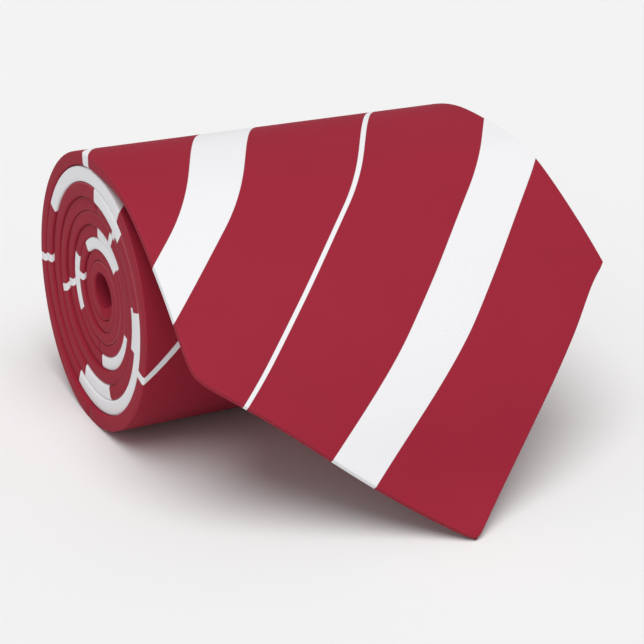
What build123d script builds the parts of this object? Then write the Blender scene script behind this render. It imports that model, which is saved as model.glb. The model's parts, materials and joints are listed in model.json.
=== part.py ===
from build123d import *
from math import asin, cos, degrees, pi, radians, sin, sqrt, tan
import os

# A man's necktie, rolled up from its narrow end and laid on its side, with the wide end
# drawn over the top of the roll and down in front of it, until its point touches the table.
# +X runs along the roll, the loose end reaches toward -Y, +Z is up.  The origin lies on the
# table, under the middle of the whole outline.  Lengths are in millimetres.

# ---------------------------------------------------------------- driving dimensions
BLADE_WIDTH = 101.6        # four inch blade, measured across its two shoulders
TAPER = 2.5                # degrees by which each long edge leans inward
NECK_WIDTH = 40.0          # narrowest stretch, behind the collar
TAIL_WIDTH = 44.0          # widest place of the narrow end, just before its point
ROLL_RADIUS = 32.0         # outer surface of the outermost wrap
PITCH = 3.1                # from one wrap to the next
WRAPS = 9
CLOTH = 0.55               # one layer of silk twill
PADDING = 1.0              # woollen interlining
HEM = 2.0                  # the interlining stops this far inside the folded edges
FLAT_DEPTH = 0.25          # how much the roll settles on the table
BEND_RADIUS = 66.0         # loose end, as it bends away from the top of the roll
DROP_ANGLE = 45.0          # degrees, slope of the loose end below that bend
JOINT_GAP = 0.3            # between the wrapped cloth and the loose end
BLADE_HALF_TURNS = 6       # the blade panel ends after three wraps
NECK_HALF_TURNS = 5        # the neck panel takes two and a half more
KEEPER_DISTANCE = 190.0    # keeper loop, measured up from the point of the blade
KEEPER_SIZE = (50.0, 12.0)
TAG_SIZE = (24.0, 14.0)
THREAD = 0.3               # sewing thread, pressed flat
STITCH = 2.0               # length of one stitch
STITCH_PITCH = 3.0
TACK_SIZE = (8.0, 1.5)     # bar tack
SLACK_SIZE = (5.0, 15.0)   # loop of spare thread at the end of the seam
TIPPING_HEIGHT = 85.0      # the lining shows up to this far above the point
TIPPING_HEM = 9.0          # folded silk around the lining
BLOCK_DEPTH = 60.0         # cutting blocks stand this far to each side of the slope

THICKNESS = 2 * CLOTH + PADDING
HALF_TURNS = 2 * WRAPS
LEFT = -BLADE_WIDTH / 2
CENTRE_Z = ROLL_RADIUS - FLAT_DEPTH
TOP = CENTRE_Z + ROLL_RADIUS

# ---------------------------------------------------------------- the loose end's line
drop = radians(DROP_ANGLE)
bend_length = BEND_RADIUS * drop
straight_length = (TOP - BEND_RADIUS * (1 - cos(drop)) - THICKNESS * cos(drop)) / sin(drop)
end_length = bend_length + straight_length
reach = BEND_RADIUS * sin(drop) + straight_length * cos(drop)
ROLL_Y = (reach - ROLL_RADIUS) / 2
SIDE = Plane(origin=(0, ROLL_Y, 0), x_dir=(0, 1, 0), z_dir=(1, 0, 0))
TIP_POINT = Vector(0, ROLL_Y - reach, THICKNESS * cos(drop))
SLOPE = Plane(origin=TIP_POINT, x_dir=(1, 0, 0), z_dir=(0, -sin(drop), cos(drop)))

# ---------------------------------------------------------------- the flat pattern
# x runs across the tie and d runs up it, from the left shoulder.  The left edge lies
# straight up, because the tie is rolled with that edge flush, so the blade's own centre
# line and its shoulder line lean by the taper.
lean = radians(TAPER)
right_shoulder = (LEFT + BLADE_WIDTH * cos(lean), BLADE_WIDTH * sin(lean))
point = (LEFT + BLADE_WIDTH / 2 * (cos(lean) + sin(lean)), BLADE_WIDTH / 2 * (sin(lean) - cos(lean)))
shoulder_to_roll = end_length + point[1]


def half_turn_radius(turn):
    return ROLL_RADIUS - turn * PITCH / 2


def half_turn_centre(turn):
    return CENTRE_Z if turn % 2 == 0 else CENTRE_Z - PITCH / 2


def start_angle(turn):
    """The tie winds from the top down the back, then up the front."""
    return 90 if turn % 2 == 0 else 270


def distance_at(turn):
    """Distance up the tie, from the left shoulder to where a half turn starts."""
    wound = sum(pi * (half_turn_radius(i) - THICKNESS / 2) for i in range(turn))
    return shoulder_to_roll + wound


def right_edge(distance):
    """The right edge's place across the tie: it tapers to the neck, then widens a little."""
    tapered = right_shoulder[0] - tan(2 * lean) * (distance - right_shoulder[1])
    tail_start = distance_at(BLADE_HALF_TURNS + NECK_HALF_TURNS)
    tail_end = distance_at(HALF_TURNS - 1)
    widening = max(0, (distance - tail_start) / (tail_end - tail_start)) * (TAIL_WIDTH - NECK_WIDTH)
    return max(tapered, LEFT + NECK_WIDTH + widening)


def middle(distance):
    return (LEFT + right_edge(distance)) / 2


# ---------------------------------------------------------------- pieces of the roll
def ring_sector(turn, outer, inner, start, size):
    """Part of a wrap's cross-section, between two depths below its outer surface."""
    centre = (0, half_turn_centre(turn))
    radius = half_turn_radius(turn)
    with BuildSketch(Plane.XY) as sector:
        with BuildLine():
            rim = CenterArc(centre, radius - outer, start, size)
            bore = CenterArc(centre, radius - inner, start, size)
            Line(rim @ 0, bore @ 0)
            Line(rim @ 1, bore @ 1)
        make_face()
    return sector.sketch


def half_turn(turn, outer, inner, left, right, share=1.0):
    """The first share of half a wrap, whose sides follow left(distance), right(distance)."""
    size = 180 * share
    sector = ring_sector(turn, outer, inner, start_angle(turn) - size, size)
    radius = half_turn_radius(turn)
    upward = 1 if turn % 2 == 0 else -1
    first, last = distance_at(turn), distance_at(turn + 1)

    def side(edge):
        rise = upward * (edge(first) - edge(last)) / (2 * radius)
        centre = ((edge(first) + edge(last)) / 2, ROLL_Y, half_turn_centre(turn))
        return Plane(origin=centre, z_dir=(1, 0, -rise))

    with BuildPart() as half:
        with BuildSketch(SIDE.offset(LEFT - 1)):
            add(sector)
        extrude(amount=BLADE_WIDTH + 2)
        split(bisect_by=side(left), keep=Keep.TOP)
        split(bisect_by=side(right), keep=Keep.BOTTOM)
    return half.part


def point_half_width(distance):
    """Half the width of the narrow end's point, over the innermost half turn."""
    start, end = distance_at(HALF_TURNS - 1), distance_at(HALF_TURNS)
    return 1 + (end - distance) / (end - start) * (TAIL_WIDTH / 2 - 1)


def wraps(turns, outer, inner, margin, point_share=1.0):
    """A run of half turns, set in from both edges by a margin, and pointed at the core."""

    def left(distance):
        return LEFT + margin

    def right(distance):
        return right_edge(distance) - margin

    def left_of_point(distance):
        return LEFT + TAIL_WIDTH / 2 - point_half_width(distance) + margin

    def right_of_point(distance):
        return LEFT + TAIL_WIDTH / 2 + point_half_width(distance) - margin

    pieces = []
    for turn in turns:
        if turn < HALF_TURNS - 1:
            pieces.append(half_turn(turn, outer, inner, left, right))
        else:
            pieces.append(half_turn(turn, outer, inner, left_of_point, right_of_point, point_share))
    return pieces


def patch(turn, angle, length, outer, inner, x_from, x_to):
    """A small curved rectangle between two wraps, its length measured round the roll."""
    size = degrees(length / (half_turn_radius(turn) - outer))
    with BuildPart() as small:
        with BuildSketch(SIDE.offset(x_from)):
            add(ring_sector(turn, outer, inner, angle - size / 2, size))
        extrude(amount=x_to - x_from)
    return small.part


# ---------------------------------------------------------------- pieces of the loose end
def end_strip(outer, inner, start, stop, x_from, x_to):
    """The loose end's section between two depths and two lengths, drawn out along X."""
    centre = (0, TOP - BEND_RADIUS)
    bent = min(stop, bend_length) - start
    first, size = 90 + degrees(start / BEND_RADIUS), degrees(bent / BEND_RADIUS)
    run = (-(stop - bend_length) * cos(drop), -(stop - bend_length) * sin(drop))
    with BuildPart() as strip:
        with BuildSketch(SIDE.offset(x_from)):
            with BuildLine():
                face = CenterArc(centre, BEND_RADIUS - outer, first, size)
                back = CenterArc(centre, BEND_RADIUS - inner, first, size)
                Line(face @ 0, back @ 0)
                if stop > bend_length:
                    front_line = Line(face @ 1, face @ 1 + Vector(*run))
                    back_line = Line(back @ 1, back @ 1 + Vector(*run))
                    Line(front_line @ 1, back_line @ 1)
                else:
                    Line(face @ 1, back @ 1)
            make_face()
        extrude(amount=x_to - x_from)
    return strip.part


def on_slope(place):
    """A place of the flat pattern, in the plane of the loose end's straight stretch."""
    return (place[0], place[1] - point[1])


def edge_points(margin):
    """The point and both shoulders, set in from the blade's edges, in the plane of the slope."""
    tip = on_slope((point[0], point[1] + margin * sqrt(2)))
    left = on_slope((LEFT + margin, margin * (sqrt(2) - 1)))
    right = on_slope((right_shoulder[0] - margin, right_shoulder[1] + margin * (sqrt(2) - 1)))
    return tip, left, right


def outline(margin):
    """The blade's pointed outline, set in by a margin, as a tall block square to the slope."""
    height = 2 * end_length
    tip, left, right = edge_points(margin)
    right_top = (right[0] - tan(2 * lean) * (height - right[1]), height)
    with BuildPart() as block:
        with BuildSketch(SLOPE.offset(-BLOCK_DEPTH)):
            with BuildLine():
                Polyline(tip, right, right_top, (left[0], height), left, close=True)
            make_face()
        extrude(amount=2 * BLOCK_DEPTH)
    return block.part


def kite(margin):
    """Where the lining shows at the back: a kite between the point's hems and the seam."""
    tip, left, right = edge_points(margin)
    crown = (point[0], TIPPING_HEIGHT + TIPPING_HEM - margin)
    with BuildPart() as block:
        with BuildSketch(SLOPE.offset(-BLOCK_DEPTH)):
            with BuildLine():
                Polyline(tip, right, crown, left, close=True)
            make_face()
        extrude(amount=2 * BLOCK_DEPTH)
    return block.part


def end_layer(outer, inner, block):
    """One layer of the loose end, cut to a block's outline."""
    with BuildPart() as layer:
        add(end_strip(outer, inner, JOINT_GAP, end_length, LEFT - 1, -LEFT + 1))
        add(block, mode=Mode.INTERSECT)
    return layer.part


# ================================================================ the parts
outer_turns = range(0, 2)
inner_turns = range(2, BLADE_HALF_TURNS)
neck_turns = range(BLADE_HALF_TURNS, BLADE_HALF_TURNS + NECK_HALF_TURNS)
tail_turns = range(BLADE_HALF_TURNS + NECK_HALF_TURNS, HALF_TURNS)
BACK = CLOTH + PADDING     # depth at which the back layer of cloth starts
OVER_SEAM = THICKNESS + THREAD + 0.05

# ---- padding inside the roll: one strip from the joint to the point at the core
interlining_halves = wraps(range(0, HALF_TURNS), CLOTH, BACK, HEM, 0.8)
with BuildPart() as interlining_rolled:
    for half in interlining_halves:
        add(half)

# ---- the silk of the wide end: its outermost wrap, which the table flattens along its
# lowest line, and the two wraps inside that one
with BuildPart() as blade_outer_wrap:
    for half in wraps(outer_turns, 0, THICKNESS, 0):
        add(half)
    for turn in outer_turns:
        add(interlining_halves[turn], mode=Mode.SUBTRACT)
    split(bisect_by=Plane.XY, keep=Keep.TOP)

with BuildPart() as blade_inner_wraps:
    for half in wraps(inner_turns, 0, THICKNESS, 0):
        add(half)
    for turn in inner_turns:
        add(interlining_halves[turn], mode=Mode.SUBTRACT)

# ---- the neck panel, sewn to the wide end on one side and to the narrow end on the other
with BuildPart() as neck_cloth:
    for half in wraps(neck_turns, 0, THICKNESS, 0):
        add(half)
    for turn in neck_turns:
        add(interlining_halves[turn], mode=Mode.SUBTRACT)

# ---- the narrow end, whose point lies at the core, with its own small lining
with BuildPart() as tail_tipping:
    add(wraps([HALF_TURNS - 1], BACK, THICKNESS, 5, 0.8)[0])

with BuildPart() as tail_cloth:
    for half in wraps(tail_turns, 0, THICKNESS, 0):
        add(half)
    for turn in tail_turns:
        add(interlining_halves[turn], mode=Mode.SUBTRACT)
    add(tail_tipping.part, mode=Mode.SUBTRACT)

# ---- the seam along the middle of the back, hidden between the wraps
with BuildPart() as slip_stitch_rolled:
    for turn in range(0, HALF_TURNS - 2):
        add(half_turn(turn, THICKNESS, THICKNESS + THREAD,
                      lambda distance: middle(distance) - THREAD,
                      lambda distance: middle(distance) + THREAD))


def seam_across(turn):
    """A row of stitches across the back, where one panel is sewn to the next."""
    start, end = LEFT + HEM, right_edge(distance_at(turn)) - HEM
    centre = middle(distance_at(turn))
    stitches = []
    count = int((end - start) / STITCH_PITCH)
    for number in range(count):
        x = start + number * STITCH_PITCH
        if abs(x + STITCH / 2 - centre) > STITCH:
            stitches.append(patch(turn, start_angle(turn) - 2, 2 * THREAD, THICKNESS,
                                  THICKNESS + THREAD, x, x + STITCH))
    return stitches


with BuildPart() as blade_neck_seam:
    for stitch in seam_across(neck_turns[0]):
        add(stitch)

with BuildPart() as neck_tail_seam:
    for stitch in seam_across(tail_turns[0]):
        add(stitch)

# ---- the keeper loop, on the back of the first wrap, held by two stitches at each end
keeper_way = KEEPER_DISTANCE - end_length
keeper_angle = 90 - degrees(keeper_way / (ROLL_RADIUS - THICKNESS / 2))
keeper_x = middle(shoulder_to_roll + keeper_way)
with BuildPart() as keeper_loop:
    add(patch(0, keeper_angle, KEEPER_SIZE[1], OVER_SEAM, PITCH - 0.05,
              keeper_x - KEEPER_SIZE[0] / 2, keeper_x + KEEPER_SIZE[0] / 2))

with BuildPart() as keeper_stitches:
    for x in (keeper_x - KEEPER_SIZE[0] / 2 + 1, keeper_x + KEEPER_SIZE[0] / 2 - 1 - THREAD):
        for turned in (-8, 8):
            add(patch(0, keeper_angle + turned, STITCH, THICKNESS, OVER_SEAM, x, x + THREAD))

# ---- a blank care tag beside the seam, nearer the point than the keeper loop
tag_angle = keeper_angle + degrees((KEEPER_SIZE[1] + TAG_SIZE[1] + 6) / 2 / ROLL_RADIUS)
tag_x = keeper_x + 3
with BuildPart() as care_tag:
    add(patch(0, tag_angle, TAG_SIZE[1], THICKNESS, THICKNESS + THREAD, tag_x, tag_x + TAG_SIZE[0]))

with BuildPart() as care_tag_stitches:
    for x in (tag_x + 1, tag_x + TAG_SIZE[0] - 1 - STITCH):
        for turned in (-9, 9):
            add(patch(0, tag_angle + turned, THREAD, THICKNESS + THREAD, THICKNESS + 2 * THREAD,
                      x, x + STITCH))

# ---- bar tack of the narrow end
tack_x = LEFT + TAIL_WIDTH / 2
with BuildPart() as tail_bar_tack:
    add(patch(HALF_TURNS - 2, 80, TACK_SIZE[1], THICKNESS, THICKNESS + THREAD,
              tack_x - TACK_SIZE[0] / 2, tack_x + TACK_SIZE[0] / 2))

# ---- the loose end of the blade: padding, lining of the point, and the silk around them
with BuildPart() as interlining_end:
    add(end_layer(CLOTH, BACK, outline(HEM)))

with BuildPart() as blade_tipping:
    add(end_layer(BACK, THICKNESS, kite(TIPPING_HEM)))

with BuildPart() as blade_loose_end:
    add(end_layer(0, THICKNESS, outline(0)))
    add(interlining_end.part, mode=Mode.SUBTRACT)
    add(blade_tipping.part, mode=Mode.SUBTRACT)

# ---- its stitches: around the lining, up the seam, and the tack where the seam ends
with BuildPart() as tipping_stitches:
    add(end_layer(THICKNESS, THICKNESS + THREAD, kite(TIPPING_HEM - 2 * THREAD)))
    add(kite(TIPPING_HEM), mode=Mode.SUBTRACT)

crown_turn = drop - asin((TIPPING_HEIGHT - straight_length) / BEND_RADIUS)
tack_length = BEND_RADIUS * crown_turn - 2 * TACK_SIZE[1]
with BuildPart() as blade_bar_tack:
    add(end_strip(THICKNESS, THICKNESS + THREAD, tack_length - TACK_SIZE[1], tack_length,
                  point[0] - TACK_SIZE[0] / 2, point[0] + TACK_SIZE[0] / 2))

with BuildPart() as slip_stitch_end:
    add(end_strip(THICKNESS, THICKNESS + THREAD, JOINT_GAP, tack_length - TACK_SIZE[1],
                  middle(shoulder_to_roll) - THREAD, middle(shoulder_to_roll) + THREAD))

slack_start = tack_length + 3 * TACK_SIZE[1]
with BuildPart() as slack_thread:
    add(end_strip(THICKNESS, THICKNESS + THREAD, slack_start, slack_start + SLACK_SIZE[1],
                  point[0] - SLACK_SIZE[0] / 2, point[0] + SLACK_SIZE[0] / 2))
    add(end_strip(THICKNESS, THICKNESS + THREAD, slack_start + THREAD, slack_start + SLACK_SIZE[1] - THREAD,
                  point[0] - SLACK_SIZE[0] / 2 + THREAD, point[0] + SLACK_SIZE[0] / 2 - THREAD),
        mode=Mode.SUBTRACT)

# ================================================================ export
pieces = {
    "blade_outer_wrap": blade_outer_wrap,
    "blade_inner_wraps": blade_inner_wraps,
    "neck_cloth": neck_cloth,
    "tail_cloth": tail_cloth,
    "interlining_rolled": interlining_rolled,
    "tail_tipping": tail_tipping,
    "slip_stitch_rolled": slip_stitch_rolled,
    "blade_neck_seam": blade_neck_seam,
    "neck_tail_seam": neck_tail_seam,
    "keeper_loop": keeper_loop,
    "keeper_stitches": keeper_stitches,
    "care_tag": care_tag,
    "care_tag_stitches": care_tag_stitches,
    "tail_bar_tack": tail_bar_tack,
    "blade_loose_end": blade_loose_end,
    "interlining_end": interlining_end,
    "blade_tipping": blade_tipping,
    "tipping_stitches": tipping_stitches,
    "slip_stitch_end": slip_stitch_end,
    "blade_bar_tack": blade_bar_tack,
    "slack_thread": slack_thread,
}
os.makedirs("parts", exist_ok=True)
for name, piece in pieces.items():
    piece.part.label = name
    export_step(piece.part, f"parts/{name}.step")

print("length of the tie", round(distance_at(HALF_TURNS) - point[1]))
print("loose end", round(end_length), "roll axis at y", round(ROLL_Y, 2))
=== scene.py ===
import json
import math

import bpy
import numpy as np
from mathutils import Matrix, Vector


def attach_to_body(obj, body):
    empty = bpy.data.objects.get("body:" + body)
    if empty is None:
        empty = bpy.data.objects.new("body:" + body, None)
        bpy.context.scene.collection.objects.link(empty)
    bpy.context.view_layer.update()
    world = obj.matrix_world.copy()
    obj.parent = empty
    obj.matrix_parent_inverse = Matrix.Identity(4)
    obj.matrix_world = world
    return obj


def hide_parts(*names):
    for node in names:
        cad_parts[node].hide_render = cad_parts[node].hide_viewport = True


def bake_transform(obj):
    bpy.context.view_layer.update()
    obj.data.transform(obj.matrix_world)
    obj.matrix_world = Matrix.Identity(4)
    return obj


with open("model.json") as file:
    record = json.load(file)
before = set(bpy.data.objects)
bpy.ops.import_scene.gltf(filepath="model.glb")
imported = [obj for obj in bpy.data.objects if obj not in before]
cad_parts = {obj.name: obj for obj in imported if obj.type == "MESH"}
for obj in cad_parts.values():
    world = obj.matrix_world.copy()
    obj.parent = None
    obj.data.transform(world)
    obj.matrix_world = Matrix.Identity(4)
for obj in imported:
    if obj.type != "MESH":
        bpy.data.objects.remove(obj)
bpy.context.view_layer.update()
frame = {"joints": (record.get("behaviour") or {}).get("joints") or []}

# A rolled necktie.  Sizes are in millimetres, and a mesh is scaled to metres when it is made.
# The tie is laid out flat first: x runs across it, from the roll's left face to its right,
# and d runs up it, from the left shoulder of the pointed end.  Depth is measured into the
# cloth, from the outer surface of each wrap.
MM = 0.001

# ---------------------------------------------------------------- sizes shared with the CAD
hinge = frame["joints"][0]
JOINT_GAP = 0.3
ROLL_Y = hinge["pos_m"][1] / MM + JOINT_GAP / 2
TOP = hinge["pos_m"][2] / MM
BLADE_WIDTH = 101.6
TAPER = math.radians(2.5)
NECK_WIDTH = 40.0
TAIL_WIDTH = 44.0
ROLL_RADIUS = 32.0
PITCH = 3.1
HALF_TURNS = 18
CAD_THICKNESS = 2.1
BLADE_HALF_TURNS = 6
NECK_HALF_TURNS = 5
BEND_RADIUS = 66.0
DROP = math.radians(45)
KEEPER_DISTANCE = 190.0
KEEPER_SIZE = (50.0, 12.0)
TAG_SIZE = (24.0, 14.0)
TIPPING_HEIGHT = 85.0
TIPPING_HEM = 9.0
TACK_LENGTH = 8.0
SLACK_SIZE = (5.0, 15.0)

LEFT = -BLADE_WIDTH / 2
CENTRE_Z = TOP - ROLL_RADIUS

bend_length = BEND_RADIUS * DROP
straight_drop = TOP - BEND_RADIUS * (1 - math.cos(DROP)) - CAD_THICKNESS * math.cos(DROP)
end_length = bend_length + straight_drop / math.sin(DROP)
RIGHT_SHOULDER = (LEFT + BLADE_WIDTH * math.cos(TAPER), BLADE_WIDTH * math.sin(TAPER))
POINT = (LEFT + BLADE_WIDTH / 2 * (math.cos(TAPER) + math.sin(TAPER)),
         BLADE_WIDTH / 2 * (math.sin(TAPER) - math.cos(TAPER)))
ROLL_START = end_length + POINT[1]

# ---------------------------------------------------------------- sizes of the looks alone
SILK = 0.32                # the cloth alone
ROLLED_EDGE = 3.04         # folded silk and its padding on the roll, beside a folded edge
FREE_EDGE = 1.5            # and on the loose end, where the edges are pressed sharp
MIDDLE_THICKNESS = 2.5     # along the middle, where the flaps lie flat
PRESSED = (3.0, 14.0)      # distances from an edge between which the thickness changes
EDGE_ROUND = 0.55          # width of the rounding at a folded edge
EDGE_SQUARENESS = 0.5      # 1 would make the rounding an ellipse
LEFT_SHOULDER_ROUND = 3.0
RIGHT_SHOULDER_ROUND = 0.3
SHOULDER_FLARE = 1.4       # the right shoulder's corner stands out by this much
POINT_ROUND = 1.0
EDGE_WAVE = 0.7            # the loose end's left edge isn't quite straight
EDGE_BOW = 0.6             # and its right edge bows out
FOOT_SPREAD = 0.8          # the outermost wrap spreads to the left where it rests on the table
ROLL_BULGE = 0.55          # and the roll bulges to the rear
CORE_CURL = 3.7            # the narrow end's point curls this much further into the core
FACE_RECESS = 2.2          # the wraps draw back toward the core by this much
LOOSENESS = 1.2            # the outer wraps lie looser than the inner ones by this much
PANEL_OVERLAP = 0.4
SEAM_GAP = 0.12            # half the gap between the two flaps along the seam
POINT_CURL = (1.98, 3.53, -1.85)   # the loose end's point curls under, to rest on the table
POINT_CURL_LENGTH = 34.0
LEAST_RADIUS = 0.3         # nothing on the roll comes nearer to its half turn's centre
POINT_THINNING = 1.2       # the narrow end's point is thinner by this much
PADDING_FRONT, PADDING_BACK = 0.42, 2.02   # depths of the padding's two faces
PADDING_CLEARANCE = 0.48   # least distance from the back's surface to the padding
LINING_CLEARANCES = (0.46, 0.36)

# the silk's shoulder and point sit a little off the CAD's plain outline, where the photo has them
SHOULDER = (RIGHT_SHOULDER[0] + 1.2, RIGHT_SHOULDER[1] + 3.5)
TIP = (POINT[0] - 2.5, POINT[1] + 1.5)
CORE_Z = CENTRE_Z - PITCH / 4


def turn_radius(turn):
    return ROLL_RADIUS - turn * PITCH / 2


turn_starts = [ROLL_START]
for turn in range(HALF_TURNS):
    turn_starts.append(turn_starts[-1] + math.pi * (turn_radius(turn) - CAD_THICKNESS / 2))
turn_starts = np.array(turn_starts)
TAIL_START = turn_starts[BLADE_HALF_TURNS + NECK_HALF_TURNS]
NECK_START = turn_starts[BLADE_HALF_TURNS]
POINT_START = turn_starts[HALF_TURNS - 1]
TIE_END = turn_starts[HALF_TURNS]
REAR = ROLL_START + (turn_starts[1] - ROLL_START) / 2
UNDERSIDE = turn_starts[1]


# ---------------------------------------------------------------- from the flat tie to space
def smooth(value, low, high):
    t = np.clip((value - low) / (high - low), 0, 1)
    return t * t * (3 - 2 * t)


def place(x, d, depth):
    """Where a point of the flat tie lies once the tie is rolled, in millimetres."""
    x, d, depth = np.broadcast_arrays(np.asarray(x, float), d, depth)
    turn = np.clip(np.searchsorted(turn_starts, d, side="right") - 1, 0, HALF_TURNS - 1)
    radius = ROLL_RADIUS - turn * PITCH / 2
    curl = CORE_CURL * smooth(d, POINT_START, TIE_END)
    angle = (d - turn_starts[turn]) / (radius - CAD_THICKNESS / 2)
    back = np.where(turn % 2 == 0, 1.0, -1.0)
    centre = CENTRE_Z - np.where(turn % 2 == 0, 0.0, PITCH / 2)
    reduced = np.maximum(radius - curl - depth, LEAST_RADIUS)
    y_roll = back * reduced * np.sin(angle)
    z_roll = centre + back * reduced * np.cos(angle)
    reach = np.hypot(y_roll, z_roll - CORE_Z)
    slack = np.sin(np.pi * np.clip((ROLL_RADIUS - 1 - reach) / (ROLL_RADIUS - 7), 0, 1))
    shrink = 1 - LOOSENESS * slack * smooth(d, ROLL_START, REAR) / np.maximum(reach, 1)
    y_roll = y_roll * shrink
    y_roll = y_roll + ROLL_BULGE * (np.maximum(y_roll, 0) / ROLL_RADIUS) ** 2
    z_roll = CORE_Z + (z_roll - CORE_Z) * shrink

    length = np.maximum(ROLL_START - d, 0)
    bent = np.minimum(length, bend_length) / BEND_RADIUS
    run = np.maximum(length - bend_length, 0)
    out = BEND_RADIUS - depth + end_lift(x, length)
    y_end = -out * np.sin(bent) - run * math.cos(DROP)
    z_end = TOP - BEND_RADIUS + out * np.cos(bent) - run * math.sin(DROP)
    free = d < ROLL_START
    under = smooth(length, end_length - POINT_CURL_LENGTH, end_length - 2)
    y = np.where(free, y_end, y_roll) + ROLL_Y + POINT_CURL[1] * under
    z = np.where(free, z_end, z_roll) + POINT_CURL[2] * under
    return np.stack([x + POINT_CURL[0] * under, y, np.maximum(z, 0)], -1)


def end_lift(x, length):
    """How far the loose end stands proud of its plain bend: a twist, a crown and soft waves.

    Its numbers are heights and places along the end, in millimetres, that suit the photo."""
    across = x / (BLADE_WIDTH / 2)
    along = np.clip((length - 20) / (end_length - 20), 0, 1)
    twist = 0.9 * across * smooth(length, 5, 60) * (1 - smooth(length, 75, 112))
    crown = 3.0 * (1 - across * across) * smooth(length, 5, 50) * (1 - smooth(length, 60, 112))
    sag = (0.85 * across - 1.25) * np.sin(math.pi * along) ** 2
    waves = -0.7 * across * np.sin(2 * math.pi * along) - 1.2 * np.sin(3 * math.pi * along)
    reach = smooth(length, 10, 30) * (1 - smooth(length, 95, 112))
    ripple = np.sin(length / 15.0) * smooth(across, 0.2, 1.0) * reach
    return twist + crown + sag + waves + ripple + 0.8 * across * smooth(length, 0, 40)


# ---------------------------------------------------------------- the outline of the flat tie
def soft_max(value, floor, softness):
    t = value - floor
    return floor + (t + np.sqrt(t * t + softness * softness)) / 2


def tail_point(d):
    return np.clip((d - POINT_START) / (TIE_END - POINT_START), 0, 1)


def face_recess(d):
    """The wraps aren't quite flush: they draw back toward the core, each by its own amount."""
    inward = smooth(d, ROLL_START + 130, TIE_END) * FACE_RECESS
    uneven = 0.14 * np.sin(d / 17.0) + 0.14 * np.sin(d / 41.0 + 1.0)
    return inward + uneven * smooth(d, ROLL_START + 60, ROLL_START + 200)


def left_edge(d):
    """The left edge, flush at the roll's left face, with a rounded shoulder and a point."""
    slope = (TIP[0] - LEFT) / TIP[1]
    outer = soft_max(LEFT + slope * d, LEFT, LEFT_SHOULDER_ROUND)
    wave = EDGE_WAVE * np.sin(2 * math.pi * np.clip(d / TIP[1], 0, 1))
    foot = FOOT_SPREAD * np.exp(-((d - UNDERSIDE) / 28.0) ** 2)
    narrow = LEFT + 5 * tail_point(d)
    return np.where(d > POINT_START, narrow, outer + wave - foot) + face_recess(d)


def right_edge(d):
    slope = (TIP[0] - SHOULDER[0]) / (TIP[1] - SHOULDER[1])
    above = d - SHOULDER[1]
    tapered = SHOULDER[0] - math.tan(2 * TAPER) * above - 1.7 * smooth(above, 0, 90)
    flare = SHOULDER_FLARE * np.exp(-np.abs(above) / np.where(above < 0, 2.2, 25.0))
    bow = EDGE_BOW * smooth(-above, 4, 16) * (1 - smooth(-above, 38, 56))
    outer = flare + bow - soft_max(-SHOULDER[0] - slope * above, -tapered, RIGHT_SHOULDER_ROUND)
    along_tail = np.clip((d - TAIL_START) / (POINT_START - TAIL_START), 0, 1)
    widening = (TAIL_WIDTH - NECK_WIDTH) * along_tail
    inner = np.maximum(outer, LEFT + NECK_WIDTH + widening)
    narrow = LEFT + TAIL_WIDTH - (TAIL_WIDTH - 6) * tail_point(d)
    chosen = np.where(d > POINT_START, narrow, np.where(d > ROLL_START, inner, outer))
    return chosen + face_recess(d) * (d > NECK_START)


def middle(d):
    """The seam's place, halfway between the edges; on the loose end it runs to the point."""
    d = np.asarray(d, float)
    halfway = (left_edge(d) + right_edge(d)) / 2
    top = (left_edge(ROLL_START) + right_edge(ROLL_START)) / 2
    along = TIP[0] + (top - TIP[0]) * (d - TIP[1]) / (ROLL_START - TIP[1])
    return np.where(d < ROLL_START, along, halfway)


def edge_thickness(d):
    """Thickness beside the folded edges: full on the roll, and less on the loose end and point."""
    full = FREE_EDGE + (ROLLED_EDGE - FREE_EDGE) * float(smooth(d, ROLL_START - 22, ROLL_START + 4))
    return full - POINT_THINNING * float(tail_point(d))


def back_depth(x, d, left, right):
    """Depth of the back's surface, from its thickness at the edges to that of the middle."""
    nearest = np.minimum(x - left, right - x)
    edge = edge_thickness(d)
    middle_depth = MIDDLE_THICKNESS - POINT_THINNING * float(tail_point(d))
    return edge + (middle_depth - edge) * smooth(nearest, *PRESSED)


# ---------------------------------------------------------------- the stripes
# A stripe is known by where it crosses the left edge, in millimetres up from the left shoulder.
STRIPE_SLOPE = (math.cos(TAPER) + math.sin(TAPER)) / (math.cos(TAPER) - math.sin(TAPER))
THIN = 1.9
BLADE_STRIPES = ((-71.3, -53.5), (-19.6, -18.15), (12.7, 27.0))
# On the roll, each stripe's place is how far it has turned back from the top, in degrees.
THIN_TURNS = (4, 94, 254, 452, 1048, 1184, 1410, 1537, 2240)
WIDE_TURNS = ((330, 424), (520, 645), (683, 718), (884, 922), (977, 1004),
              (1619, 1690), (1750, 1798), (1866, 1922), (2110, 2195))


def stripe_start(x, d):
    """Where the stripe through a point crosses the left edge: the cloth is eased over the bend."""
    across = np.clip(x / (BLADE_WIDTH / 2), -1.2, 1.2)
    eased = 12.7 * (1 - 0.34 * across) * smooth(d, 32.6, 81.3) + 8.0 * smooth(-d, 0, 45)
    return d - eased - STRIPE_SLOPE * (x - LEFT)


def roll_distance(degrees):
    turn, rest = divmod(degrees, 180)
    return turn_starts[turn] + math.radians(rest) * (turn_radius(turn) - CAD_THICKNESS / 2)


def stripe_spans():
    spans = list(BLADE_STRIPES)
    for degrees in THIN_TURNS:
        start = float(stripe_start(LEFT, roll_distance(degrees)))
        spans.append((start, start + THIN))
    for turns in WIDE_TURNS:
        spans.append(tuple(float(stripe_start(LEFT, roll_distance(degrees))) for degrees in turns))
    return spans


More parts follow.
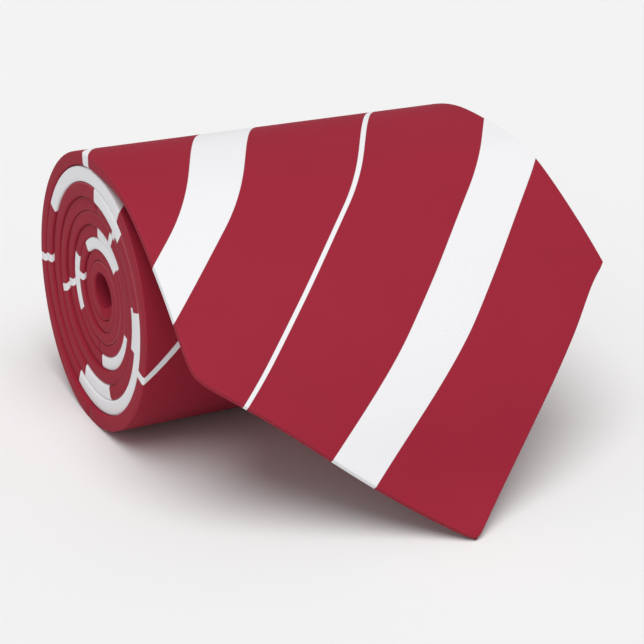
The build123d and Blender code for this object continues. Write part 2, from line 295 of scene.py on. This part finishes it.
# ---------------------------------------------------------------- meshes
def new_object(name, vertices, faces, material, flat=None):
    """flat is each point's place on the flat cloth, x and d, and how near it is to a crease, times the
    strength of the painted highlight there.
    """
    mesh = bpy.data.meshes.new(name)
    mesh.from_pydata([tuple(v) for v in np.asarray(vertices) * MM], [], [tuple(f) for f in faces])
    mesh.polygons.foreach_set("use_smooth", [True] * len(mesh.polygons))
    if flat is not None:
        flat = np.asarray(flat, np.float32)
        attribute = mesh.attributes.new("flat", "FLOAT_VECTOR", "POINT")
        attribute.data.foreach_set("vector", flat.ravel())
        starts = mesh.attributes.new("stripe_start", "FLOAT", "POINT")
        starts.data.foreach_set("value", stripe_start(flat[:, 0], flat[:, 1]).astype(np.float32))
    mesh.materials.append(material)
    mesh.update()
    piece = bpy.data.objects.new(name, mesh)
    bpy.context.collection.objects.link(piece)
    return piece


def grid_faces(rows, columns, cyclic=False):
    across = columns if cyclic else columns - 1
    faces = []
    for row in range(rows - 1):
        for column in range(across):
            after = (column + 1) % columns
            faces.append((row * columns + column, row * columns + after,
                          (row + 1) * columns + after, (row + 1) * columns + column))
    return faces


def slope_of(edge, d):
    step = 0.05
    return (edge(d + step) - edge(d - step)) / (2 * step)


def fold(edge, inward, thickness):
    """The rounding of one folded edge, from the back's surface to the front's, and its crease, where a pale
    highlight is painted.
    """
    steps_round = 12
    path = []
    for step in range(steps_round + 1):
        turned = math.pi * step / steps_round
        out = math.sin(turned) ** EDGE_SQUARENESS
        lift = math.copysign(abs(math.cos(turned)) ** EDGE_SQUARENESS, math.cos(turned))
        crease = max(0.0, 1 - 0.7 * abs(step - (steps_round - 2)))
        path.append((edge + inward * (1 - out), thickness / 2 * (1 + lift), crease))
    return path


def painted_crease_highlight(d):
    """How strongly the creases are painted with a pale highlight, as if they caught the light: only inside
    the roll is it painted fully, as thin lines.
    """
    return 0.1 + 0.9 * float(smooth(d, ROLL_START + 130, ROLL_START + 260))


def folded_rows(distances, opening):
    """The silk as it is folded: from the seam round one edge, over the front, and back.

    opening(d) gives the places of the two flaps' free edges on the back."""
    back_steps, front_steps = 14, 36
    rows, flats = [], []
    for d in distances:
        left, right = float(left_edge(d)), float(right_edge(d))
        past_tip = max(d - (TIP[1] + POINT_ROUND), 0.0) if d < 0 else 1e3
        if past_tip < 30:
            from_centre = past_tip + POINT_ROUND
            rounded = math.sqrt(from_centre ** 2 - POINT_ROUND ** 2) / from_centre
            centre = (left + right) / 2
            left, right = centre - (centre - left) * rounded, centre + (right - centre) * rounded
        width = right - left
        thin = 0.12 + 0.88 * math.sqrt(1 - (1 - min(past_tip / 2.0, 1.0)) ** 2)
        left_slope, right_slope = float(slope_of(left_edge, d)), float(slope_of(right_edge, d))
        left_round = min(EDGE_ROUND * math.hypot(1, left_slope), 0.45 * width)
        right_round = min(EDGE_ROUND * math.hypot(1, right_slope), 0.45 * width)
        left_flap, right_flap = opening(d)
        left_flap = min(max(left_flap, left + left_round), right - right_round)
        right_flap = max(min(right_flap, right - right_round), left + left_round)

        edge = edge_thickness(d)

        def depth_at(x):
            return float(back_depth(x, d, left, right))

        tuck = min(0.5, 0.2 * width)
        path = []
        for turned in (0.0, 0.5):
            depth = depth_at(left_flap) - (2 - turned) * SILK
            path.append((left_flap - tuck * (1 - turned), depth, 0))
        for step in np.linspace(0, 1, back_steps, endpoint=False):
            x = left_flap + (left + left_round - left_flap) * step
            path.append((x, depth_at(x), 0))
        path += fold(left, left_round, edge)
        for step in np.linspace(0, 1, front_steps + 1)[1:-1]:
            path.append((left + left_round + (width - left_round - right_round) * step, 0.0, 0))
        path += fold(right, -right_round, edge)[::-1]
        for step in np.linspace(0, 1, back_steps + 1)[1:]:
            x = right - right_round + (right_flap - right + right_round) * step
            path.append((x, depth_at(x), 0))
        for turned in (0.5, 0.0):
            depth = depth_at(right_flap) - (2 - turned) * SILK
            path.append((right_flap + tuck * (1 - turned), depth, 0))
        x, depth, crease = np.array(path).T
        on_back = depth > edge / 2 + 1e-6
        depth = edge / 2 + (depth - edge / 2) * thin
        rows.append(place(x, d, depth))
        flat_x, flat_d = unfolded(x, d, on_back, left, right, left_slope, right_slope)
        flats.append(np.stack([flat_x, flat_d, crease * painted_crease_highlight(d)], -1))
    return np.array(rows), np.array(flats)


def unfolded(x, d, on_back, left, right, left_slope, right_slope):
    """Where each point of a row was on the cloth before it was folded over an edge."""
    flat_x, flat_d = x.copy(), np.full_like(x, d)
    left_half = np.arange(len(x)) < len(x) / 2
    for edge, slope, own_half in ((left, left_slope, left_half), (right, right_slope, ~left_half)):
        across, along = np.array([1.0, -slope]) / math.hypot(1, slope)
        twice = 2 * (x - edge) * across
        chosen = on_back & own_half
        flat_x[chosen] -= (twice * across)[chosen]
        flat_d[chosen] -= (twice * along)[chosen]
    return flat_x, flat_d


def silk_piece(name, distances, opening, material):
    rows, flats = folded_rows(distances, opening)
    count, columns = rows.shape[:2]
    piece = new_object(name, rows.reshape(-1, 3), grid_faces(count, columns), material,
                       flats.reshape(-1, 3))
    solid = piece.modifiers.new("cloth", "SOLIDIFY")
    solid.thickness = SILK * MM
    solid.offset = -1
    return piece


def slab_piece(name, distances, left, right, depths, material, columns=24):
    """A closed layer of cloth between two edges, with rounded rims.

    depths(x, d) gives the depths of its outer and inner surfaces."""
    rows, flats = [], []
    for d in distances:
        first, last = float(left(d)), float(right(d))
        outer, inner = depths(np.array([first, last]), d)
        rim = min(float(inner[0] - outer[0]) / 2, (last - first) / 4)
        x = np.linspace(first + rim, last - rim, columns)
        front, back = depths(x, d)
        halfway = (outer + inner) / 2
        ring_x = np.concatenate([x, [last], x[::-1], [first]])
        ring_depth = np.concatenate([front, halfway[1:], back[::-1], halfway[:1]])
        rows.append(place(ring_x, d, ring_depth))
        flats.append(np.stack([ring_x, np.full_like(ring_x, d), np.zeros_like(ring_x)], -1))
    around = 2 * columns + 2
    faces = grid_faces(len(rows), around, cyclic=True)
    for start, turned in ((0, 1), ((len(rows) - 1) * around, -1)):
        for column in range(columns - 1):
            opposite = 2 * columns - column
            corners = (start + column + 1, start + column, start + opposite, start + opposite - 1)
            faces.append(corners[::turned])
        faces.append((start + columns, start + columns - 1, start + columns + 1)[::turned])
        faces.append((start, start + 2 * columns + 1, start + 2 * columns)[::turned])
    return new_object(name, np.concatenate(rows), faces, material, np.concatenate(flats))


def strands(name, lines, radius, material, sides=7):
    """Short lengths of thread: each is a tube along its line, closed and rounded at its ends."""
    vertices, faces = [], []
    for line in lines:
        line = np.asarray(line, float)
        tangents = np.gradient(line, axis=0)
        first = len(vertices)
        count = len(line)
        for index in range(count):
            along = Vector(tangents[index]).normalized()
            side = along.cross(Vector((0.3, 0.2, 0.93))).normalized()
            up = side.cross(along)
            share = index / (count - 1)
            swell = math.sqrt(max(1 - (2 * share - 1) ** 6, 0.04))
            for corner in range(sides):
                turned = 2 * math.pi * corner / sides
                offset = (side * math.cos(turned) + up * math.sin(turned)) * radius * swell
                vertices.append(tuple(Vector(line[index]) + offset))
        for index in range(count - 1):
            for corner in range(sides):
                after = (corner + 1) % sides
                a = first + index * sides
                faces.append((a + corner, a + after, a + sides + after, a + sides + corner))
        faces.append(tuple(first + corner for corner in reversed(range(sides))))
        faces.append(tuple(first + (count - 1) * sides + corner for corner in range(sides)))
    return new_object(name, vertices, faces, material)


def stitch(start, end, above_back, rise):
    """The line of one stitch on the back, between two points of the flat tie.

    It starts above_back out of the back's surface, and arches off it by rise."""
    points = []
    for share in np.linspace(0, 1, 6):
        x = start[0] + (end[0] - start[0]) * share
        d = start[1] + (end[1] - start[1]) * share
        surface = float(back_depth(x, d, float(left_edge(d)), float(right_edge(d))))
        points.append(place(x, d, surface + above_back + rise * math.sin(math.pi * share)))
    return np.array(points)


# ---------------------------------------------------------------- materials
def material(name, colour, roughness, sheen=0.0, specular=0.3):
    made = bpy.data.materials.new(name)
    made.use_nodes = True
    shader = made.node_tree.nodes["Principled BSDF"]
    shader.inputs["Base Color"].default_value = (*colour, 1)
    shader.inputs["Roughness"].default_value = roughness
    shader.inputs["Sheen Weight"].default_value = sheen
    shader.inputs["Sheen Roughness"].default_value = 0.45
    shader.inputs["Specular IOR Level"].default_value = specular
    return made, made.node_tree, shader


def math_node(tree, operation, first, second=None, third=None):
    node = tree.nodes.new("ShaderNodeMath")
    node.operation = operation
    for index, value in enumerate((first, second, third)):
        if value is None:
            continue
        if isinstance(value, (int, float)):
            node.inputs[index].default_value = value
        else:
            tree.links.new(value, node.inputs[index])
    return node.outputs[0]


def mix_colour(tree, factor, first, second, blend="MIX"):
    node = tree.nodes.new("ShaderNodeMix")
    node.data_type = "RGBA"
    node.blend_type = blend
    for key, value in (("Factor", factor), ("A", first), ("B", second)):
        socket = node.inputs[key]
        if isinstance(value, bpy.types.NodeSocket):
            tree.links.new(value, socket)
        elif isinstance(value, (int, float)):
            socket.default_value = value
        else:
            socket.default_value = (*value, 1)
    return node.outputs["Result"]


def bump(tree, shader, height, strength, distance):
    node = tree.nodes.new("ShaderNodeBump")
    node.inputs["Strength"].default_value = strength
    node.inputs["Distance"].default_value = distance * MM
    tree.links.new(height, node.inputs["Height"])
    tree.links.new(node.outputs["Normal"], shader.inputs["Normal"])


def noise(tree, vector, scale, detail=2.0):
    node = tree.nodes.new("ShaderNodeTexNoise")
    node.inputs["Scale"].default_value = scale
    node.inputs["Detail"].default_value = detail
    tree.links.new(vector, node.inputs["Vector"])
    return node.outputs["Fac"]


RED = (0.335, 0.0195, 0.0415)
DEEP_RED = (0.30, 0.0175, 0.036)
# the pale pink of the highlight painted along the creases
CREASE_HIGHLIGHT_PINK = (0.55, 0.20, 0.24)
WHITE = (0.825, 0.825, 0.845)
TWILL_PITCH = 0.55
YARN_PITCH = 0.45


def band(tree, value, low, high, softness=0.05):
    """1 where value lies between low and high, with a soft woven boundary."""
    rise = tree.nodes.new("ShaderNodeMapRange")
    rise.inputs["From Min"].default_value = low - softness
    rise.inputs["From Max"].default_value = low + softness
    tree.links.new(value, rise.inputs["Value"])
    fall = tree.nodes.new("ShaderNodeMapRange")
    fall.inputs["From Min"].default_value = high - softness
    fall.inputs["From Max"].default_value = high + softness
    fall.inputs["To Min"].default_value = 1
    fall.inputs["To Max"].default_value = 0
    tree.links.new(value, fall.inputs["Value"])
    return math_node(tree, "MULTIPLY", rise.outputs[0], fall.outputs[0])


def attribute(tree, name, output):
    node = tree.nodes.new("ShaderNodeAttribute")
    node.attribute_name = name
    return node.outputs[output]


def make_silk():
    made, tree, shader = material("crimson_striped_silk", RED, 0.65, sheen=0.015, specular=0.08)
    flat = attribute(tree, "flat", "Vector")
    parts = tree.nodes.new("ShaderNodeSeparateXYZ")
    tree.links.new(flat, parts.inputs[0])
    x, d, crease = parts.outputs
    along_stripe = math_node(tree, "ADD", x, d)
    yarn = math_node(tree, "SINE", math_node(tree, "MULTIPLY", along_stripe, 2 * math.pi / YARN_PITCH))
    start = math_node(tree, "MULTIPLY_ADD", yarn, 0.04, attribute(tree, "stripe_start", "Fac"))
    white = None
    for low, high in stripe_spans():
        stripe = band(tree, start, low, high)
        white = stripe if white is None else math_node(tree, "MAXIMUM", white, stripe)

    # the weave: a steep twill line, broken up by uneven yarns
    slant = math_node(tree, "ADD", math_node(tree, "MULTIPLY", x, 0.5),
                      math_node(tree, "MULTIPLY", d, 0.866))
    twill = math_node(tree, "SINE", math_node(tree, "MULTIPLY", slant, 2 * math.pi / TWILL_PITCH))
    slubs = noise(tree, flat, 1.6, 3.0)
    cloud = noise(tree, flat, 0.05, 2.0)
    red = mix_colour(tree, cloud, DEEP_RED, RED)
    slub_shade = math_node(tree, "MULTIPLY_ADD", slubs, 0.06, 0.97)
    shade = math_node(tree, "MULTIPLY_ADD", twill, 0.03, slub_shade)
    shade_colour = tree.nodes.new("ShaderNodeCombineColor")
    for socket in ("Red", "Green", "Blue"):
        tree.links.new(shade, shade_colour.inputs[socket])
    red = mix_colour(tree, 1.0, red, shade_colour.outputs[0], "MULTIPLY")
    # painted highlight: the creases are lightened toward a pale pink, as thin lines of light
    red = mix_colour(tree, math_node(tree, "MULTIPLY", crease, 0.5), red, CREASE_HIGHLIGHT_PINK)
    tree.links.new(mix_colour(tree, white, red, WHITE), shader.inputs["Base Color"])
    height = math_node(tree, "MULTIPLY_ADD", slubs, 0.6, twill)
    bump(tree, shader, height, 0.12, 0.04)
    return made


def make_lining():
    made, tree, shader = material("crimson_lining_satin", (0.23, 0.015, 0.030), 0.38, sheen=0.1, specular=0.4)
    ribs = tree.nodes.new("ShaderNodeTexWave")
    ribs.inputs["Scale"].default_value = 0.9
    ribs.inputs["Distortion"].default_value = 0.6
    tree.links.new(attribute(tree, "flat", "Vector"), ribs.inputs["Vector"])
    colour = mix_colour(tree, ribs.outputs["Fac"], (0.20, 0.013, 0.027), (0.27, 0.018, 0.036))
    tree.links.new(colour, shader.inputs["Base Color"])
    bump(tree, shader, ribs.outputs["Fac"], 0.15, 0.04)
    return made


def make_wool():
    made, tree, shader = material("brushed_wool", (0.72, 0.68, 0.60), 0.95, sheen=0.4, specular=0.1)
    where = tree.nodes.new("ShaderNodeTexCoord")
    fibres = noise(tree, where.outputs["Object"], 2600, 4.0)
    colour = mix_colour(tree, fibres, (0.60, 0.56, 0.48), (0.82, 0.79, 0.72))
    tree.links.new(colour, shader.inputs["Base Color"])
    bump(tree, shader, fibres, 0.7, 0.25)
    return made


def make_thread(name, colour):
    made, tree, shader = material(name, colour, 0.6, sheen=0.3, specular=0.3)
    where = tree.nodes.new("ShaderNodeTexCoord")
    ply = tree.nodes.new("ShaderNodeTexWave")
    ply.bands_direction = "DIAGONAL"
    ply.inputs["Scale"].default_value = 1500
    tree.links.new(where.outputs["Object"], ply.inputs["Vector"])
    dark = tuple(0.75 * value for value in colour)
    tree.links.new(mix_colour(tree, ply.outputs["Fac"], dark, colour), shader.inputs["Base Color"])
    bump(tree, shader, ply.outputs["Fac"], 0.5, 0.05)
    return made


def make_tape():
    made, tree, shader = material("white_woven_tape", (0.85, 0.85, 0.84), 0.7, sheen=0.2, specular=0.25)
    weave = tree.nodes.new("ShaderNodeTexChecker")
    weave.inputs["Scale"].default_value = 2.4
    tree.links.new(attribute(tree, "flat", "Vector"), weave.inputs["Vector"])
    colour = mix_colour(tree, weave.outputs["Fac"], (0.80, 0.80, 0.79), (0.88, 0.88, 0.87))
    tree.links.new(colour, shader.inputs["Base Color"])
    bump(tree, shader, weave.outputs["Fac"], 0.4, 0.04)
    return made


silk = make_silk()
lining = make_lining()
wool = make_wool()
red_thread = make_thread("crimson_thread", (0.30, 0.022, 0.042))
tack_thread = make_thread("crimson_bar_tack_thread", (0.26, 0.018, 0.036))
white_thread = make_thread("white_thread", (0.80, 0.80, 0.79))
tape = make_tape()


# ---------------------------------------------------------------- the silk
CROWN = TIP[1] + TIPPING_HEIGHT
HEM_SIDE = TIPPING_HEM * math.sqrt(2)
KITE_FOOT = TIP[1] + HEM_SIDE
KITE_CORNER = HEM_SIDE - TIPPING_HEM


def flap_edges(d):
    """The free edges of the two flaps on the back: they meet at the seam, and part over the
    lining of the point."""
    centre = float(middle(d))
    if d > CROWN or d < KITE_FOOT:
        return centre - SEAM_GAP, centre + SEAM_GAP
    crown_x = float(middle(CROWN))
    left = np.interp(d, [KITE_FOOT, KITE_CORNER, CROWN], [TIP[0], LEFT + TIPPING_HEM, crown_x])
    right = np.interp(d, [KITE_FOOT, SHOULDER[1] + KITE_CORNER, CROWN],
                      [TIP[0], SHOULDER[0] - TIPPING_HEM, crown_x])
    return float(left) - SEAM_GAP, float(right) + SEAM_GAP


def seam_edges(d):
    centre = float(middle(d))
    return centre - SEAM_GAP, centre + SEAM_GAP


def steps(start, stop, step):
    return list(np.linspace(start, stop, max(2, int(round((stop - start) / step)) + 1)))


def flat_area(distances, left, right, layers=1):
    """Area of a layer in square metres, and its greatest width and its length in metres."""
    distances = np.asarray(distances)
    widths = np.array([float(right(d)) - float(left(d)) for d in distances])
    area = float(np.sum((widths[1:] + widths[:-1]) / 2 * np.diff(distances)))
    size = (layers * float(widths.max()) * MM, float(distances[-1] - distances[0]) * MM)
    return size, min(layers * area * MM * MM, size[0] * size[1])


def attach(piece, body, slot, *nodes):
    """The piece hides the CAD nodes it stands for and rides on its body; with body "both" its transform is
    baked into its mesh instead.
    """
    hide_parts(*nodes)
    if body == "both":
        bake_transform(piece)
    else:
        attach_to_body(piece, body)


tip_rows = [TIP[1] + POINT_ROUND * math.cosh(t) for t in np.linspace(0.02, 2.2, 9)]
blade_rows = (tip_rows + steps(tip_rows[-1] + 1.2, ROLL_START, 1.5)
              + steps(ROLL_START, UNDERSIDE, 2.2)[1:])
outer_rows = steps(UNDERSIDE - PANEL_OVERLAP, NECK_START, 2.4)
neck_rows = steps(NECK_START - PANEL_OVERLAP, TAIL_START, 2.0)
tail_rows = (steps(TAIL_START - PANEL_OVERLAP, POINT_START, 1.6)
             + steps(POINT_START, TIE_END - 0.6, 1.0)[1:])
for name, rows, opening, body, nodes in (
        ("blade_silk", blade_rows, flap_edges, "both", ["blade_loose_end"]),
        ("rolled_blade_silk", outer_rows, seam_edges, "roll", ["blade_outer_wrap", "blade_inner_wraps"]),
        ("neck_silk", neck_rows, seam_edges, "roll", ["neck_cloth"]),
        ("tail_silk", tail_rows, seam_edges, "roll", ["tail_cloth"])):
    piece = silk_piece(name, rows, opening, silk)
    attach(piece, body, "silk_twill", *nodes)
    cut, cut_area = flat_area(rows, left_edge, right_edge, layers=2)


# ---------------------------------------------------------------- padding and linings
def inset(edge, amount):
    return lambda d: edge(d) + amount


def lining_left(d):
    return max(flap_edges(d)[0] - 5, float(left_edge(d)) + 1.8)


def lining_right(d):
    return min(flap_edges(d)[1] + 5, float(right_edge(d)) - 1.8)


def inside_back(x, d, clearance):
    """A depth inside the folded silk, this far from the back's surface."""
    return back_depth(x, d, float(left_edge(d)), float(right_edge(d))) - clearance


def padding_depths(x, d):
    back = np.minimum(inside_back(x, d, PADDING_CLEARANCE), PADDING_BACK)
    return np.full_like(back, PADDING_FRONT), np.maximum(back, PADDING_FRONT + 0.2)


def lining_depths(x, d):
    return tuple(inside_back(x, d, clearance) for clearance in LINING_CLEARANCES)


padding_left, padding_right = inset(left_edge, 2.0), inset(right_edge, -2.0)
for name, rows, left, right, depths, cloth, body, slot, node in (
        ("padding_of_blade_end", steps(TIP[1] + 6, ROLL_START, 2.5) + steps(ROLL_START, REAR, 2.5)[1:],
         padding_left, padding_right, padding_depths, wool, "both", "interlining", "interlining_end"),
        ("padding_of_roll", steps(REAR, TIE_END - 12, 3.0),
         padding_left, padding_right, padding_depths, wool, "roll", "interlining", "interlining_rolled"),
        ("blade_lining", steps(TIP[1] + 5, CROWN + 5, 2.0),
         lining_left, lining_right, lining_depths, lining, "blade_end", "lining", "blade_tipping"),
        ("tail_lining", steps(POINT_START - 22, TIE_END - 9, 2.0),
         inset(left_edge, 3.0), inset(right_edge, -3.0), lining_depths, lining,
         "roll", "lining", "tail_tipping")):
    piece = slab_piece(name, rows, left, right, depths, cloth)
    attach(piece, body, slot, node)
    cut, cut_area = flat_area(rows, left, right)


# ---------------------------------------------------------------- stitches
THREAD_RADIUS = 0.13
LINING_THREAD_RADIUS = 0.11
TACK_THREAD_RADIUS = 0.17
ON_BACK = -0.04            # a stitch starts a little inside the surface
ARCH = 0.10
STITCH_PITCH = 3.0
STITCH_LENGTH = 2          # along the tie, or across it where two panels join
SEAM_REACH = 0.45          # a slip stitch reaches this far into each flap
TACK_WIDTH = 1.6


def seam_stitches(start, stop):
    """Slip stitches: each crosses the seam on a slant, from one flap to the other."""
    lines = []
    for d in np.arange(start, stop - STITCH_LENGTH, STITCH_PITCH):
        below, above = float(middle(d)), float(middle(d + STITCH_LENGTH))
        lines.append(stitch((below - SEAM_REACH, d), (above + SEAM_REACH, d + STITCH_LENGTH),
                            ON_BACK, ARCH))
    return lines


def row_across(d, left, right):
    """Stitches across the back, where one panel is sewn to the next."""
    lines = []
    for x in np.arange(left, right - STITCH_LENGTH, STITCH_PITCH):
        lines.append(stitch((x, d - 0.2), (x + STITCH_LENGTH, d + 0.2), ON_BACK, ARCH))
    return lines


def row_between(start, end, inward):
    """Stitches along a flap's free edge, each a short bite from the flap into the lining."""
    start, end = np.array(start), np.array(end)
    length = float(np.hypot(*(end - start)))
    along = (end - start) / length
    across = np.array([-along[1], along[0]]) * inward
    lines = []
    for way in np.arange(1.5, length - 2, STITCH_PITCH):
        foot = start + along * way
        bite = foot + across * 0.5 + along * 0.8
        lines.append(stitch(foot - across * 0.9, bite, ON_BACK + 0.06, 0.06))
    return lines


def bar_tack(x, d, length, width):
    """A satin bar: three long threads under close short ones laid across them."""
    lines = []
    for offset in (-0.4, 0.0, 0.4):
        lines.append(stitch((x - length / 2, d + offset), (x + length / 2, d + offset),
                            ON_BACK, ARCH))
    for offset in np.arange(-length / 2 + 0.3, length / 2, 0.34):
        lines.append(stitch((x + offset, d - width / 2), (x + offset + 0.12, d + width / 2),
                            ON_BACK + 0.05, 2 * ARCH))
    return lines


def corner_stitches(x, d, length, width, inset_by, above_back):
    """Two stitches at each end of a small sewn strip."""
    lines = []
    for end in (-1, 1):
        for side in (-1, 1):
            at = (x + end * (length / 2 - inset_by), d + side * width * 0.28)
            lines.append(stitch((at[0], at[1] - 1), (at[0], at[1] + 1), above_back, ARCH))
    return lines


tack_d = CROWN + 3.5
tail_tack_d = roll_distance(16 * 180 + 80)
tail_tack_x = LEFT + TAIL_WIDTH / 2 + float(face_recess(tail_tack_d))
crown_point = (float(middle(CROWN)), CROWN)
left_corner = (LEFT + TIPPING_HEM, KITE_CORNER)
right_corner = (SHOULDER[0] - TIPPING_HEM, SHOULDER[1] + KITE_CORNER)
kite_foot = (TIP[0], KITE_FOOT)
kite_stitches = (row_between(kite_foot, left_corner, -1) + row_between(left_corner, crown_point, -1)
                 + row_between(kite_foot, right_corner, 1) + row_between(right_corner, crown_point, 1))

keeper_d = POINT[1] + KEEPER_DISTANCE
keeper_x = float(middle(keeper_d))
tag_d = keeper_d - (KEEPER_SIZE[1] + TAG_SIZE[1] + 6) / 2
tag_x = keeper_x + 3 + TAG_SIZE[0] / 2
KEEPER_DEPTHS = (MIDDLE_THICKNESS + 0.02, MIDDLE_THICKNESS + 0.42)
TAG_DEPTHS = (MIDDLE_THICKNESS + 0.02, MIDDLE_THICKNESS + 0.22)


def level(outer, inner):
    """A strip of even thickness, for slab_piece."""
    return lambda x, d: (np.full_like(x, outer), np.full_like(x, inner))


keeper_sewing = corner_stitches(keeper_x, keeper_d, *KEEPER_SIZE, 1.5, 0.38)
tag_sewing = corner_stitches(tag_x, tag_d, *TAG_SIZE, 1.8, 0.20)
neck_row = row_across(NECK_START, float(left_edge(NECK_START)) + 4, float(right_edge(NECK_START)) - 4)
tail_row = row_across(TAIL_START, float(left_edge(TAIL_START)) + 4, float(right_edge(TAIL_START)) - 4)

for name, lines, radius, thread, body, slot, node in (
        ("seam_stitches_of_end", seam_stitches(tack_d + 2, REAR), THREAD_RADIUS, red_thread,
         "both", "sewing_thread", "slip_stitch_end"),
        ("seam_stitches_of_roll", seam_stitches(REAR, tail_tack_d - 3), THREAD_RADIUS, red_thread,
         "roll", "sewing_thread", "slip_stitch_rolled"),
        ("lining_stitches", kite_stitches, LINING_THREAD_RADIUS, red_thread,
         "blade_end", "sewing_thread", "tipping_stitches"),
        ("bar_tack_of_blade", bar_tack(float(middle(tack_d)), tack_d, TACK_LENGTH, TACK_WIDTH),
         TACK_THREAD_RADIUS, tack_thread, "blade_end", "bar_tack_thread", "blade_bar_tack"),
        ("bar_tack_of_tail", bar_tack(tail_tack_x, tail_tack_d, TACK_LENGTH, TACK_WIDTH),
         TACK_THREAD_RADIUS, tack_thread, "roll", "bar_tack_thread", "tail_bar_tack"),
        ("keeper_band_stitches", keeper_sewing, THREAD_RADIUS, red_thread,
         "roll", "sewing_thread", "keeper_stitches"),
        ("blank_tag_stitches", tag_sewing, THREAD_RADIUS, white_thread,
         "roll", "tag_thread", "care_tag_stitches"),
        ("stitches_blade_to_neck", neck_row, THREAD_RADIUS, red_thread,
         "roll", "sewing_thread", "blade_neck_seam"),
        ("stitches_neck_to_tail", tail_row, THREAD_RADIUS, red_thread,
         "roll", "sewing_thread", "neck_tail_seam")):
    attach(strands(name, lines, radius, thread), body, slot, node)

# ---------------------------------------------------------------- keeper band and blank tag
for name, x, d, size, depths, cloth, slot, node in (
        ("keeper_band", keeper_x, keeper_d, KEEPER_SIZE, KEEPER_DEPTHS, silk, "silk_twill", "keeper_loop"),
        ("blank_tag", tag_x, tag_d, TAG_SIZE, TAG_DEPTHS, tape, "tag_cloth", "care_tag")):
    rows = steps(d - size[1] / 2, d + size[1] / 2, 1.0)
    left, right = (lambda _, edge=x - size[0] / 2: edge), (lambda _, edge=x + size[0] / 2: edge)
    piece = slab_piece(name, rows, left, right, level(*depths), cloth)
    attach(piece, "roll", slot, node)

# ---------------------------------------------------------------- the spare thread at the seam's end
loop_x = crown_point[0]
loop_top = tack_d - 0.8
loop_foot = loop_top - SLACK_SIZE[1]
half_loop = SLACK_SIZE[0] / 2
LOOP_ROUTE = ((-half_loop, loop_top), (-half_loop, loop_top - 5), (-half_loop - 0.3, loop_top - 10),
              (-half_loop, loop_foot), (half_loop, loop_foot), (half_loop + 0.3, loop_top - 10),
              (half_loop, loop_top - 5), (half_loop, loop_top))
LOOP_DIAMETER = 0.3
route = [place(loop_x + x, d, MIDDLE_THICKNESS + 0.3) * MM for x, d in LOOP_ROUTE]
curve = bpy.data.curves.new("spare_thread_loop", "CURVE")
curve.dimensions = "3D"
curve.bevel_depth = LOOP_DIAMETER / 2 * MM
curve.resolution_u = 16
curve.bevel_resolution = 4
spline = curve.splines.new("NURBS")
spline.points.add(len(route) - 1)
for point, where in zip(spline.points, route):
    point.co = (*where, 1)
spline.order_u = 3
spline.use_endpoint_u = True
curve.materials.append(red_thread)
loop = bpy.data.objects.new("spare_thread_loop", curve)
bpy.context.collection.objects.link(loop)
attach(loop, "blade_end", "sewing_thread", "slack_thread")

# ---------------------------------------------------------------- floor, light, camera
bpy.ops.mesh.primitive_plane_add(size=100, location=(0, 0, 0))
floor = bpy.context.object
floor.name = "floor"
floor_material, _, _ = material("pale_floor", (0.86, 0.86, 0.86), 0.9, specular=0.0)
floor.data.materials.append(floor_material)

# two soft lamps: name, strength, angular size in degrees, and the way the light travels
for name, strength, angular_size, travels in (("key", 2.25, 50, (0.15, 0.27, -0.95)),
                                              ("fill", 0.24, 60, (0.9, 0.6, -0.5))):
    lamp_data = bpy.data.lights.new(name, "SUN")
    lamp_data.energy = strength
    lamp_data.angle = math.radians(angular_size)
    lamp = bpy.data.objects.new(name, lamp_data)
    lamp.rotation_euler = Vector(travels).to_track_quat("-Z", "Y").to_euler()
    bpy.context.collection.objects.link(lamp)

world = bpy.context.scene.world or bpy.data.worlds.new("world")
bpy.context.scene.world = world
world.use_nodes = True
world.node_tree.nodes["Background"].inputs["Color"].default_value = (1, 1, 1, 1)
world.node_tree.nodes["Background"].inputs["Strength"].default_value = 0.33
bpy.context.scene.view_settings.view_transform = "Standard"

HEADING = math.radians(29.28)
PITCH_DOWN = math.radians(24.58)
CAMERA_ROLL = math.radians(2.75)
CAMERA_FROM_AXIS = (-0.2027, -0.3773, 0.2117)   # metres, from the table below the roll's axis
LENS = 109.55
ahead = Vector((math.sin(HEADING) * math.cos(PITCH_DOWN), math.cos(HEADING) * math.cos(PITCH_DOWN),
                -math.sin(PITCH_DOWN)))
sideways = Vector((math.cos(HEADING), -math.sin(HEADING), 0))
upward = sideways.cross(ahead)
right = sideways * math.cos(CAMERA_ROLL) + upward * math.sin(CAMERA_ROLL)
up = upward * math.cos(CAMERA_ROLL) - sideways * math.sin(CAMERA_ROLL)
camera_data = bpy.data.cameras.new("camera")
camera_data.sensor_width = 36
camera_data.lens = LENS
camera = bpy.data.objects.new("camera", camera_data)
position = Vector((CAMERA_FROM_AXIS[0], CAMERA_FROM_AXIS[1] + ROLL_Y * MM, CAMERA_FROM_AXIS[2]))
camera.matrix_world = Matrix.Translation(position) @ Matrix((right, up, -ahead)).transposed().to_4x4()
bpy.context.collection.objects.link(camera)
bpy.context.scene.camera = camera
